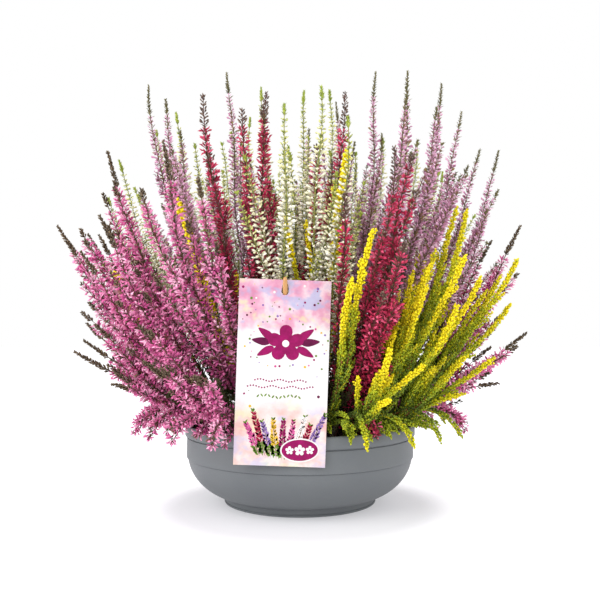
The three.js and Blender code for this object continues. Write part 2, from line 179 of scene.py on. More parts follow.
def make_sprays(plant, ring, step, draw):
    for i in range(ring.sprays):
        main = i == 0
        around = i / ring.sprays * 2 * math.pi + plant.turn
        off = MAIN_SPREAD if main else 1.0
        if plant.share == 0:
            share, azimuth = SPREAD_IN_SHARE * off, around
        else:
            share = min(plant.share + SPREAD_IN_SHARE * off * math.cos(around), SHARE_MOST)
            azimuth = plant.azimuth + SPREAD_IN_STEP * step * off * math.sin(around)
        taller = 1 + BACK_TALLER * math.sin(azimuth)
        reach = np.interp(share, *REACH) * taller * GROWS[plant.kind]
        side_share = SIDE_SPRAY_LEAST + SIDE_SPRAY_SPREAD * draw()
        most = ring.longest * (0.9 + 0.2 * draw())
        draw()  # the source turns its solid's corners by this one
        yield SimpleNamespace(
            skirt=False, main=main, share=share, azimuth=azimuth,
            length=float(min(reach if main else reach * side_share, most)),
            stem=STEM_RADIUS if main else BRANCH_RADIUS,
            rooted_at=-STEM_BURIED if main else BRANCH_HEIGHT)
    for i in range(ring.skirts):
        yield SimpleNamespace(
            skirt=True, main=False, share=plant.share,
            azimuth=plant.azimuth + (2 * i - 1) * SKIRT_SPREAD,
            length=SKIRT_LENGTH, stem=BRANCH_RADIUS, rooted_at=2.0)


def make_plants():
    plants = []
    for ring in RINGS:
        step = (ring.last - ring.first) * DEGREE / max(1, len(ring.kinds) - 1)
        for i, kind in enumerate(ring.kinds):
            number = len(plants)
            draw = draws(number)
            plant = SimpleNamespace(
                kind=kind, share=ring.share, azimuth=ring.first * DEGREE + step * i,
                turn=draw() * 2 * math.pi, number=number,
                name=f"heather_{NAMES[kind]}_{number + 1:02d}")
            plant.sprays = list(make_sprays(plant, ring, step, draw))
            plants.append(plant)
    return plants


# Meshes. Each face belongs to one part of a plant, which gives it its material. A row of the
# map runs from the part's base to its end, and the map's columns are its tones.
FLORET, LEAF, TIP, STEM = range(4)
PARTS = {FLORET: "floret", LEAF: "leaf", TIP: "tip", STEM: "stem"}
ROWS = {FLORET: (0.02, 0.36), LEAF: (0.42, 0.58), TIP: (0.62, 0.78), STEM: (0.82, 0.98)}
ORGAN_U = 0.02


def new_object(name, data):
    made = bpy.data.objects.new(name, data)
    bpy.context.scene.collection.objects.link(made)
    return made


def solid_object(name, points, faces, *materials):
    mesh = bpy.data.meshes.new(name)
    mesh.from_pydata(np.array(points) * MM, [], faces)
    for material in materials:
        mesh.materials.append(material)
    return new_object(name, mesh)


class Collected:
    """The closed solids of one piece, joined into one mesh at the end."""

    def __init__(self):
        self.points, self.faces, self.places, self.wears, self.rounded = [], [], [], [], []
        self.count = 0

    def add(self, points, faces, places, wears, rounded):
        self.points.append(points)
        self.faces.append(faces + self.count)
        self.places.append(places)
        self.wears.append(np.full(len(faces), wears))
        self.rounded.append(np.full(len(faces), rounded))
        self.count += len(points)

    def object(self, name, materials):
        """The piece, with a material for each part of the plant that it has."""
        faces = np.concatenate(self.faces)
        places = np.concatenate(self.places)[faces.ravel()].astype(np.float32)
        parts = sorted(materials)
        wears = np.searchsorted(parts, np.concatenate(self.wears)).astype(np.int32)
        made = solid_object(
            name, np.concatenate(self.points), faces, *(materials[part] for part in parts))
        made.data.polygons.foreach_set("material_index", wears)
        made.data.polygons.foreach_set("use_smooth", np.concatenate(self.rounded))
        made.data.uv_layers.new(name=UV_NAME).uv.foreach_set("vector", places.ravel())
        return made


def outward_faces(points, faces):
    """Turns the faces of a convex solid so that they look outwards."""
    centre = points.mean(0)
    turned = []
    for a, b, c in faces:
        normal = np.cross(points[b] - points[a], points[c] - points[a])
        turned.append((a, b, c) if normal @ (points[a] - centre) > 0 else (a, c, b))
    return np.array(turned)


# Organs are one unit long, along Z. Their places on the map are a turn to the side, from -1
# to 1, and a height.
TETRA = [(0, 1, 3), (0, 3, 2), (0, 2, 1), (1, 2, 3)]
PETAL_FOLD = 0.09


def organ(points, faces, places, rounded=False):
    return SimpleNamespace(
        points=np.array(points, float), faces=faces, places=np.array(places, float),
        rounded=rounded)


def blade(fold=0.5, widest=0.45):
    """A keeled leaf of four faces. Its half-width is scaled on its own."""
    points = np.array([[0, 0, 0], [-1, fold, widest], [1, fold, widest], [0, 0, 1]], float)
    return organ(points, outward_faces(points, TETRA), [[0, 0], [-1, widest], [1, widest], [0, 1]])


def spindle(belly, sides=3):
    """A drop-shaped bud or scale."""
    turn = np.arange(sides) * 2 * math.pi / sides
    ring = np.stack([np.cos(turn), np.sin(turn), np.full(sides, belly)], 1)
    points = np.concatenate([[[0, 0, 0]], ring, [[0, 0, 1]]])
    faces = []
    for k in range(sides):
        a, b = 1 + k, 1 + (k + 1) % sides
        faces += [(0, a, b), (a, b, sides + 1)]
    places = [[0, 0], *[[1 - 2 * abs(2 * k / sides - 1), belly] for k in range(sides)], [0, 1]]
    return organ(points, outward_faces(points, faces), places, rounded=True)


def star(petals, spread, lengths, half_width, curl=0.0):
    """An open floret of pointed petals, cupped round its axis."""
    points, faces, places = [], [], []
    for k in range(petals):
        radial, across = heading(2 * math.pi * k / petals)
        along = radial * math.sin(spread) + np.array([0, 0, math.cos(spread)])
        inner = np.cross(along, across) * (-1 if np.cross(along, across)[2] < 0 else 1)
        base = radial * 0.05
        long = lengths[k]
        petal = np.array([
            base,
            base + along * 0.5 * long - across * half_width + inner * PETAL_FOLD,
            base + along * 0.5 * long + across * half_width + inner * PETAL_FOLD,
            base + along * long - inner * curl])
        faces.append(outward_faces(petal, TETRA) + 4 * k)
        points.append(petal)
        places += [[0, 0], [-1, 0.5], [1, 0.5], [0, 1]]
    return organ(np.concatenate(points), np.concatenate(faces), places)


BLADE, PETAL_BLADE, BUD, DROP = blade(), blade(0.7, 0.6), spindle(0.42), spindle(0.62)
STARS = [
    star(3, 40 * DEGREE, (1, 0.8, 0.92), 0.18),
    star(2, 50 * DEGREE, (0.95, 1), 0.19, 0.05),
    star(2, 34 * DEGREE, (1, 0.82), 0.2),
]


class Path:
    """A course of points, named by their distance along."""

    def __init__(self, at, points, across):
        self.at, self.points, self.across = at, points, across

    def place(self, along):
        return np.stack([np.interp(along, self.at, self.points[:, i]) for i in range(3)], -1)

    def frame(self, along):
        """The centre, the way forward and two ways across, at distances along."""
        centre = self.place(along)
        forward = unit(self.place(along + 0.8) - self.place(along - 0.8))
        across = unit(self.across - forward * (forward @ self.across)[:, None])
        return centre, forward, across, np.cross(forward, across)

    def turn_up(self, at):
        """The turn about the course at which a shoot points upwards."""
        _, _, across, other = self.frame(np.array([at]))
        return math.atan2(other[0, 2], across[0, 2])


def straight(start, way, length):
    ends = np.stack([start, start + way * length])
    return Path(np.array([0.0, length]), ends, np.array([1.0, 0, 0]))


def tube(mesh, path, stops, radii, sides, tone):
    """A stem along the path with these radii at these stops, closed at both ends."""
    centre, _, across, other = path.frame(np.asarray(stops, float))
    turn = np.arange(sides) * 2 * math.pi / sides
    ring = np.cos(turn)[:, None] * across[:, None] + np.sin(turn)[:, None] * other[:, None]
    points = (centre[:, None] + ring * np.asarray(radii)[:, None, None]).reshape(-1, 3)
    faces = []
    last = (len(stops) - 1) * sides
    for row in range(0, last, sides):
        for k in range(sides):
            a, b = row + k, row + (k + 1) % sides
            faces += [(a, b, b + sides), (a, b + sides, a + sides)]
    for k in range(1, sides - 1):
        faces += [(0, k + 1, k), (last, last + k, last + k + 1)]
    low, high = ROWS[STEM]
    u = tone + 0.05 * (np.abs(2 * np.arange(sides) / sides - 1) - 0.5)
    span = max(stops[-1] - stops[0], 1e-6)
    v = low + (high - low) * np.clip((np.asarray(stops) - stops[0]) / span, 0, 1)
    places = np.stack(np.meshgrid(u, v), -1).reshape(-1, 2)
    mesh.add(points, np.array(faces), places, STEM, True)


# What shoots and organs keep clear of: the tag and the view of it, the stick, the bowl and the
# soil. Nothing reaches further than PAST_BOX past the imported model's box either.
TAG_CENTRE = np.array([-15.0, -114.3, 133.0])
TAG_HALF = np.array([39.0, 0.4, 79.0])
TAG_ROOM = (4, 1.5, 3)  # beside it, behind it and above it
TAG_ROLL = 2 * DEGREE
TAG_RIGHT = np.array([math.cos(TAG_ROLL), 0, -math.sin(TAG_ROLL)])
TAG_UP = np.array([math.sin(TAG_ROLL), 0, math.cos(TAG_ROLL)])
SLOT_DOWN = 7.8  # from the tag's top edge to the slot's middle
SLOT_AT = TAG_CENTRE + (TAG_HALF[2] - SLOT_DOWN) * TAG_UP
STICK_LEAN = 30 * DEGREE
STICK_WAY = np.array([0, -math.sin(STICK_LEAN), math.cos(STICK_LEAN)])
STICK_RADIUS = 2.1
STICK_PROUD = 11  # how far the stick runs on past the slot
STICK_BURIED = 30
BOWL_HEIGHT = 78
RIM_INSIDE, RIM_OUTSIDE = 103, 113.6
PAST_BOX = 7.0
REACH_LOW, REACH_HIGH = np.array(CAD_BOX) / MM + PAST_BOX * np.array([[-1], [1]])


def is_clear(points, room):
    """Whether points keep this room from all that is named above."""
    x, y, z = points.T
    before_tag = (
        (np.abs(x - TAG_CENTRE[0]) < TAG_HALF[0] + TAG_ROOM[0] + room)
        & (np.abs(z - TAG_CENTRE[2]) < TAG_HALF[2] + TAG_ROOM[2] + room)
        & (y < TAG_CENTRE[1] + TAG_ROOM[1] + room))
    along = (points - SLOT_AT) @ STICK_WAY
    off = np.linalg.norm(points - SLOT_AT - along[:, None] * STICK_WAY, axis=1)
    at_stick = (off < 2.4 + room) & (along < STICK_PROUD + 3)
    radius = np.hypot(x, y)
    in_bowl = (radius > RIM_INSIDE) & (radius < RIM_OUTSIDE + room) & (z < BOWL_HEIGHT + room)
    in_soil = (radius <= RIM_INSIDE + 1) & (z < SOIL_HEIGHT + 0.5)
    too_far = ((points < REACH_LOW) | (points > REACH_HIGH)).any(axis=1)
    return ~(before_tag | at_stick | in_bowl | in_soil | too_far)


def put(mesh, shape, base, axis, side, length, width, tone, wears, back=None):
    """Adds the organ at every place where its base and tip are clear.

    side is the way its width runs, and back is how far its root is drawn in to the stem.
    """
    keep = is_clear(base, 1.0) & is_clear(base + axis * length[:, None], 1.0)
    if not keep.any():
        return
    back = np.zeros(len(base)) if back is None else back
    base, axis, side, length, width, tone, back = (
        values[keep] for values in (base, axis, side, length, width, tone, back))
    up = np.cross(axis, side)
    x, y, z = shape.points.T
    reach = length[:, None] * z - np.outer(back, z == 0)
    points = (
        base[:, None]
        + reach[..., None] * axis[:, None]
        + (width[:, None] * x)[..., None] * side[:, None]
        + (width[:, None] * y)[..., None] * up[:, None])
    faces = shape.faces[None] + (np.arange(len(base)) * len(x))[:, None, None]
    low, high = ROWS[wears]
    u = np.clip(tone, 0.03, 0.97)[:, None] + ORGAN_U * shape.places[:, 0]
    v = np.broadcast_to(low + (high - low) * shape.places[:, 1], u.shape)
    mesh.add(
        points.reshape(-1, 3), faces.reshape(-1, 3), np.stack([u, v], -1).reshape(-1, 2),
        wears, shape.rounded)


# How each kind of heather grows. Angles are in degrees. Florets stand in rings of so many, at a
# tilt from the stem that varies by sway; they come out by stand, are least of their size where
# the flower ends and open over the next millimetres. scatter is how unevenly the rings follow
# each other, thin the share of florets left out low down and shade how much darker they are
# there. Leaves among florets stand leaf_share times as far apart. tip is the unopened end.
LEAVES = 4
STYLES = {
    "p": SimpleNamespace(
        organ=STARS, floret=5.3, floret_step=5.2, florets=4, tilt=68, sway=16, stand=(1.2, 4.2),
        opens=12, least=0.75, thin=0.0, scatter=0.38, shade=0.16,
        leaf=4.6, leaf_half=0.85, leaf_step=3.8, leaf_tilt=42, leaf_share=1.5,
        tip=36, tip_step=2.1, tip_leaf=3.9, tip_half=1.55, tip_tilt=36, tip_stand=0.8),
    "c": SimpleNamespace(
        organ=STARS, floret=5.2, floret_step=6.0, florets=4, tilt=62, sway=16, stand=(1.2, 3.8),
        opens=12, least=0.7, thin=0.6, scatter=0.26, shade=0.34,
        leaf=4.2, leaf_half=0.8, leaf_step=4.0, leaf_tilt=46, leaf_share=0.95,
        tip=34, tip_step=2.6, tip_leaf=3.8, tip_half=1.35, tip_tilt=54, tip_stand=1.8),
    "l": SimpleNamespace(
        organ=PETAL_BLADE, fat=0.36, floret=3.7, floret_step=2.9, florets=4, tilt=64, sway=12,
        stand=(0.8, 4.4), opens=48, least=0.55, thin=0.5, scatter=0.6, shade=0.16,
        leaf=4.5, leaf_half=0.75, leaf_step=4.2, leaf_tilt=54, leaf_share=0.92,
        tip=28, tip_step=2.0, tip_leaf=3.6, tip_half=1.0, tip_tilt=46, tip_stand=0.8),
    "w": SimpleNamespace(
        organ=DROP, fat=0.26, floret=5.5, floret_step=5.0, florets=5, tilt=72, sway=12,
        stand=(1.0, 4.0), opens=66, least=0.4, thin=0.4, scatter=0.4,
        leaf=3.6, leaf_half=0.65, leaf_step=4.0, leaf_tilt=42, leaf_share=1.4,
        tip=14, tip_step=1.7, tip_leaf=4.4, tip_half=1.2, tip_tilt=34, tip_stand=0.7),
}
SPIRAL = 2.4  # the turn from one side shoot to the next, in radians


def whorls(path, begin, end, step, count, rng, scatter=0.8):
    """Places round a path, row by row: distance along, centre, forward and outward directions."""
    rows = max(0, int((end - begin) / step))
    row = np.repeat(np.arange(rows), count)
    turn = row * math.pi / count + np.tile(np.arange(count), rows) * 2 * math.pi / count
    turn = turn + rng.uniform(-0.4, 0.4, row.size)
    along = begin + (row + rng.uniform(0, scatter, row.size)) * step
    centre, forward, across, other = path.frame(along)
    outward = across * np.cos(turn)[:, None] + other * np.sin(turn)[:, None]
    return along, centre, forward, outward


def lean_out(forward, outward, tilt):
    """The direction tilted from forward towards outward by this many degrees, and one across it."""
    angle = (tilt * DEGREE)[:, None]
    axis = forward * np.cos(angle) + outward * np.sin(angle)
    return axis, unit(np.cross(forward, outward))


def add_leaves(mesh, path, begin, end, step, length, half, tilt, rng, tone):
    along, centre, forward, outward = whorls(path, begin, end, step, LEAVES, rng)
    n = along.size
    axis, side = lean_out(forward, outward, tilt + rng.normal(0, 7, n))
    size = rng.uniform(0.8, 1.2, n)
    put(mesh, BLADE, centre + outward * 0.5, axis, side, length * size, half * size,
        tone(along) + rng.normal(0, 0.13, n), LEAF)


def add_florets(mesh, style, path, begin, end, rng):
    along, centre, forward, outward = whorls(
        path, begin, end, style.floret_step, style.florets, rng, style.scatter)
    # Low down, where little light comes, a share of the florets is left out.
    kept = rng.random(along.size) >= style.thin * smooth((end - along - 60) / 100)
    along, centre, forward, outward = along[kept], centre[kept], forward[kept], outward[kept]
    n = along.size
    ripe = smooth(np.clip((end - along) / style.opens, 0, 1))
    size = style.floret * (style.least + (1 - style.least) * ripe) * rng.uniform(0.82, 1.16, n)
    tilt = style.tilt - 14 * (1 - ripe) + rng.normal(0, style.sway, n)
    axis, side = lean_out(forward, outward, tilt)
    if style.organ is DROP:
        tone = 0.1 + 0.74 * smooth((end - along) / 74) + rng.normal(0, 0.1, n)
    else:
        tone = 0.54 - style.shade * smooth((end - along) / 150) + rng.normal(0, 0.26, n)
    out = rng.uniform(*style.stand, n) * (0.45 + 0.55 * ripe)
    base = centre + outward * out[:, None]
    back = out / np.sin(np.clip(tilt, 25, 90) * DEGREE)
    roll = rng.uniform(0, 2 * math.pi, n)
    side = side * np.cos(roll)[:, None] + np.cross(axis, side) * np.sin(roll)[:, None]
    rng.integers(0, 3, n)  # these draws go unused: those after them stay as they were
    if style.organ is not STARS:
        put(mesh, style.organ, base, axis, side, size, style.fat * size, tone, FLORET, back)
        return
    left = np.full(n, True)
    for k, shape in enumerate(STARS):
        those = left & (rng.integers(0, 3, n) == k) if k < 2 else left
        left = left & ~those
        put(mesh, shape, base[those], axis[those], side[those], size[those], size[those],
            tone[those], FLORET, back[those])


def add_tip(mesh, style, path, begin, end, rng):
    """The unopened end of a flower spike: buds on the kinds with stars, leaves on the others."""
    along, centre, forward, outward = whorls(path, begin, end, style.tip_step, LEAVES, rng)
    n = along.size
    if not n:
        return
    left = np.clip((end - along) / max(end - begin, 1), 0, 1)
    size = style.tip_leaf * (0.6 + 0.4 * np.sqrt(left)) * rng.uniform(0.85, 1.15, n)
    tilt = style.tip_tilt * (0.45 + 0.55 * np.sqrt(left)) + rng.normal(0, 5, n)
    axis, side = lean_out(forward, outward, tilt)
    tone = 0.5 + rng.normal(0, 0.2, n)
    shape, narrow = (DROP, 0.7) if style.organ is STARS else (BLADE, 1)
    half = style.tip_half * size / style.tip_leaf * narrow
    stand = style.tip_stand * (0.35 + 0.65 * left)
    put(mesh, shape, centre + outward * stand[:, None], axis, side, size, half, tone, TIP, stand)
    top, way, across, _ = path.frame(np.array([end - 0.5]))
    put(mesh, BUD, top - way * 2.0, way, across, np.array([3.0]), np.array([0.7]),
        np.array([0.6]), TIP)


def leaning_path(start, up, out, across, length, leans, count):
    """A course that leaves a point at the first lean, from up towards out, and ends at the last."""
    steps = np.linspace(0, length, count)
    lean = leans[0] + (leans[1] - leans[0]) * steps / length
    ds = np.diff(steps, prepend=0.0)
    upward = np.cumsum(ds * np.cos(lean))[:, None]
    away = np.cumsum(ds * np.sin(lean))[:, None]
    return Path(steps, start + up * upward + out * away, across)


def shoot_path(path, at, turn, length, lean, rng, kept=(0.15, 0.4)):
    """A side shoot's course: it leaves the stem at a lean and keeps a share of it at its end."""
    centre, forward, across, other = (v[0] for v in path.frame(np.array([at])))
    outward = across * math.cos(turn) + other * math.sin(turn)
    return leaning_path(centre, forward, outward, np.cross(forward, outward), length,
                        (lean, lean * rng.uniform(*kept)), max(4, int(length / 6)))


def apron_path(plant, path, rng):
    """The course of a short shoot that leans out over the bowl's rim."""
    way, _ = heading(plant.azimuth + rng.uniform(-0.6, 0.6))
    up = np.array([0, 0, 1])
    start = path.place(np.array([rng.uniform(4, 14)]))[0]
    length = rng.uniform(42, 62)
    leans = rng.uniform(24, 42) * DEGREE, rng.uniform(105, 148) * DEGREE
    return leaning_path(start, up, way, np.cross(way, up), length, leans, 12)


def sprout(mesh, side, room=3.0, radii=(0.6, 0.45, 0.3), tone=0.5, bare_end=1, sides=3):
    """Adds a side shoot's stem, if it has one. Returns False where something is in its way."""
    if not is_clear(side.points[1:], room).all():
        return False
    length = side.at[-1]
    if radii:
        tube(mesh, side, [0, 0.5 * length, length - bare_end], radii, sides, tone)
    return True


def add_flower_spike(mesh, kind, path, begin, floral, end, rng, tip_share=1.0):
    """Leaves, florets and an unopened tip along a path."""
    style = STYLES[kind]
    tip = min(style.tip * tip_share, 0.4 * (end - begin))
    tip_from = end - tip
    for low, high, step in (
            (begin, min(floral, tip_from), style.leaf_step),
            (floral, tip_from, style.leaf_share * style.leaf_step)):
        add_leaves(
            mesh, path, low, high, step, style.leaf, style.leaf_half, style.leaf_tilt, rng,
            lambda along: 0.25 + 0.5 * smooth((along - begin) / max(60, tip_from - begin)))
    add_florets(mesh, style, path, floral, tip_from + 2, rng)
    add_tip(mesh, style, path, tip_from, end, rng)


def wandering(plant, spray, rng):
    """The spray's own course, with a slight natural wander that leaves its root in place."""
    at = np.arange(spray.rooted_at, spray.length + 1.0, 2.0)
    at[-1] = spray.length
    points = spray_points(plant, spray, at)
    _, across = heading(spray.azimuth)
    rise = smooth((at - 20) / 120)[:, None]
    wave = rng.uniform(0, 2 * math.pi, 4)
    swing = np.stack([
        np.sin(at / 41 + wave[0]) + 0.6 * np.sin(at / 19 + wave[1]),
        np.sin(at / 37 + wave[2]) + 0.6 * np.sin(at / 17 + wave[3]),
        np.zeros_like(at)], 1)
    if not spray.skirt:
        points = points + 2.2 * rise * swing
    return Path(at, points, across)


def dress_shoot(mesh, kind, path, at, turn, length, lean, rng, tip_share, floral=7.0):
    """A flowering side shoot, unless something is in its way."""
    side = shoot_path(path, at, turn, length, lean * DEGREE, rng)
    if sprout(mesh, side):
        add_flower_spike(mesh, kind, side, 5, min(floral, 0.6 * length), length, rng, tip_share)


def next_turn(i, rng):
    return i * SPIRAL + rng.uniform(-0.5, 0.5)


def dress_flower_spray(mesh, plant, spray, path, rng):
    kind, end = plant.kind, spray.length
    outer = float(smooth((plant.share - 0.45) / 0.35))
    front = max(0.0, -math.sin(spray.azimuth))
    # Sprays inside the planting bear no florets low down, where others hide them.
    hidden = (1 - outer) * (1 - 0.75 * front)
    floral = 32.0 if spray.skirt else 28 + hidden * 0.43 * end
    if spray.skirt:
        tip_share = 0.0 if kind in "pc" else 0.08
    else:
        tip_share = rng.uniform(*((0.8, 1.05) if spray.main else (0.2, 0.8)))
    stops = np.linspace(spray.rooted_at, end - 1.5, max(5, int(end / 18)))
    radii = np.interp(stops, [spray.rooted_at, 0.35 * end, end], [spray.stem, 0.95, 0.4])
    tube(mesh, path, stops, radii, 5, 0.3 + 0.4 * rng.random())
    add_flower_spike(mesh, kind, path, max(16.0, spray.rooted_at + 4), floral, end, rng, tip_share)
    if spray.skirt:
        for i in range(4):
            dress_shoot(mesh, kind, path, 34 + 15 * i + rng.uniform(-4, 4), next_turn(i, rng),
                        rng.uniform(15, 24), rng.uniform(24, 40), rng, 0.0, 4.0)
        return
    # Long companions run up beside the spray, and side shoots fill it out low down.
    companions = ((0.14, 0.28), (0.3, 0.45))[:int(plant.share > 0.5) if kind == "c" else 2]
    for low, high in companions if end > 120 else ():
        at = end * rng.uniform(low, high)
        length = (end - at) * rng.uniform(0.6, 0.86) * (0.84 if kind == "p" else 1)
        dress_shoot(mesh, kind, path, at, rng.uniform(0, 2 * math.pi), length,
                    rng.uniform(9, 15), rng, rng.uniform(0.1, 0.45), max(7.0, floral - at))
    if kind == "p" and spray.main and plant.share > 0.7:
        upward = path.turn_up(0.3 * end)
        for at, lean in ((0.22 * end, 20), (0.34 * end, 16)):
            dress_shoot(mesh, kind, path, at, upward + rng.uniform(-0.7, 0.7),
                        (end - at) * rng.uniform(0.5, 0.7), lean, rng, rng.uniform(0.3, 0.8))
    low = 26 + hidden * 0.36 * end
    high = 0.7 * end
    count = int((high - low) / (16 if kind == "c" and in_front_row(plant) else 38))
    for i in range(count):
        at = low + (high - low) * (i + rng.uniform(0.1, 0.9)) / count
        rest = (at - low) / max(high - low, 1)
        length = (66 - 30 * rest) * rng.uniform(0.75, 1.2) * (0.7 + 0.3 * outer)
        length = min(length, 0.8 * (end - at))
        if length > 12:
            dress_shoot(
                mesh, kind, path, at, next_turn(i, rng), length, rng.uniform(19, 30), rng, 0.06)


def dress_low_foliage(mesh, plant, path, rng):
    """Short leafy shoots just above the soil."""
    for _ in range(3 if plant.share > 0.6 else 2):
        at = rng.uniform(14, 50)
        length = rng.uniform(28, 56)
        turn, lean = rng.uniform(0, 2 * math.pi), rng.uniform(30, 60) * DEGREE
        side = shoot_path(path, at, turn, length, lean, rng)
        if sprout(mesh, side):
            add_leaves(mesh, side, 3, length, 3.0, 4.6, 0.9, 38, rng, lambda along: 0.2)


def dress_apron(mesh, plant, path, rng):
    for i in range(13 if in_front_row(plant) else 6):
        side = apron_path(plant, path, rng)
        length = side.at[-1]
        if not sprout(mesh, side, 2.5, (0.7, 0.5, 0.3)):
            continue
        if plant.kind == "y":
            dress_cord(mesh, side, 4, length, lambda along: 0.16 + 0.3 * (along / length) ** 2, rng,
                       3.3, 2.0, (6, 13))
        elif plant.kind in "pc" and i % 3:
            add_flower_spike(mesh, plant.kind, side, 4, 12, length, rng, 0.0)
        else:
            add_leaves(mesh, side, 4, length, 2.8, 4.2, 0.8, 38, rng, lambda along: 0.3)


# The yellow kind has no florets: its sprays are cords of plump scale leaves with branchlets.
def add_scales(mesh, path, begin, end, step, count, length, rng, tone):
    along, centre, forward, outward = whorls(path, begin, end, step, count, rng)
    n = along.size
    left = np.clip((end - along) / 9, 0, 1)
    size = length * (0.62 + 0.38 * left) * rng.uniform(0.85, 1.15, n)
    axis, side = lean_out(forward, outward, 26 * (0.35 + 0.65 * left) + rng.normal(0, 6, n))
    put(mesh, DROP, centre + outward * (0.22 * size * left)[:, None], axis, side, size,
        0.36 * size, tone(along) + rng.normal(0, 0.09, n), LEAF)


def dress_cord(mesh, path, begin, end, bright, rng, size, opened=25.0, branch=(10, 30)):
    """A scaly cord with stubs near its top and side cords from opened millimetres below it."""
    add_scales(mesh, path, begin, end, 0.64 * size, 4, size, rng, bright)
    at = begin + 2
    i = 0
    while at < end - 6:
        below = end - at
        cord = smooth((below - opened) / 50) * 0.92 > rng.random()
        if cord:
            length = rng.uniform(*branch) * (0.6 + 0.4 * smooth(below / 120))
        else:
            length = rng.uniform(3.5, 8)
        turn = next_turn(i, rng)
        lean = rng.uniform(24, 38) if cord else rng.uniform(34, 54)
        side = shoot_path(path, at, turn, length, lean * DEGREE, rng)
        if sprout(mesh, side, 2.5, (0.8, 0.75, 0.6) if cord else None, 0.9, 2):
            here = float(bright(at))
            add_scales(
                mesh, side, 1.5, length, 2.4, 3, 0.92 * size, rng,
                lambda along: here + 0.24 * np.clip(along / 22, 0, 1) - 0.04)
        at += rng.uniform(6.8, 10.5) if cord else rng.uniform(3.8, 5.6)
        i += 1


def dress_yellow_spray(mesh, plant, spray, path, rng):
    end = spray.length
    stops = np.linspace(spray.rooted_at, end - 2, max(5, int(end / 18)))
    radii = np.interp(stops, [spray.rooted_at, 0.4 * end, end], [spray.stem, 0.9, 0.5])
    bare = len(stops) // 2
    tube(mesh, path, stops[:bare + 1], radii[:bare + 1], 5, 0.2)
    tube(mesh, path, stops[bare:], 1.35 * radii[bare:], 5, 0.97)
    leafy = 20.0 if plant.share > 0.45 else 0.3 * end
    dull = 0.28 if spray.skirt else 0.0
    accent = len(plant.sprays) == 1
    least, turns = (0.42, 0.1) if accent else (0.1, 0.32)
    # The plants at the right are limier.
    most = 0.7 if -0.7 < plant.azimuth < 0.6 else 0.86

    def bright(along):
        return least + (most - least) * smooth((along / end - turns) / 0.58) - dull

    if spray.skirt:
        dress_cord(mesh, path, leafy, end, bright, rng, 3.6, 2.0, (6, 15))
        return
    dress_cord(mesh, path, leafy, end, bright, rng, 5.4 if accent else 3.8)
    # Long branches rise beside the cord, as on a candelabra.
    branches = 3 if spray.main and plant.share > 0.7 else 2
    for low, high in ((0.14, 0.28), (0.3, 0.44), (0.2, 0.4))[:branches if end > 110 else 0]:
        at = end * rng.uniform(low, high)
        length = (end - at) * rng.uniform(0.45, 0.75)
        turn = path.turn_up(at) + rng.uniform(-0.9, 0.9)
        side = shoot_path(path, at, turn, length, rng.uniform(20, 38) * DEGREE, rng, (0.4, 0.8))
        if sprout(mesh, side, 3.0, (0.9, 0.9, 0.7), 0.9, 2, 4):
            far = at + length
            dress_cord(
                mesh, side, 3, length,
                lambda along: 0.12 + (most - 0.14) * smooth(((at + along) / far - 0.36) / 0.58),
                rng, 3.6)


def make_plant(plant, materials):
    rng = np.random.default_rng(SEED * 100 + plant.number)
    mesh = Collected()
    for spray in plant.sprays:
        path = wandering(plant, spray, rng)
        if plant.kind == "y":
            dress_yellow_spray(mesh, plant, spray, path, rng)
        else:
            dress_flower_spray(mesh, plant, spray, path, rng)
            if not spray.skirt:
                dress_low_foliage(mesh, plant, path, rng)
        if spray.main and plant.share > 0.6:
            dress_apron(mesh, plant, path, rng)
    return mesh.object(f"sprigs_{plant.name.removeprefix('heather_')}", materials)


# Materials
def linear(code):
    """A colour written as sRGB hex, in linear light."""
    parts = [int(code[i:i + 2], 16) / 255 for i in (0, 2, 4)]
    return [p / 12.92 if p <= 0.04045 else ((p + 0.055) / 1.055) ** 2.4 for p in parts] + [1.0]


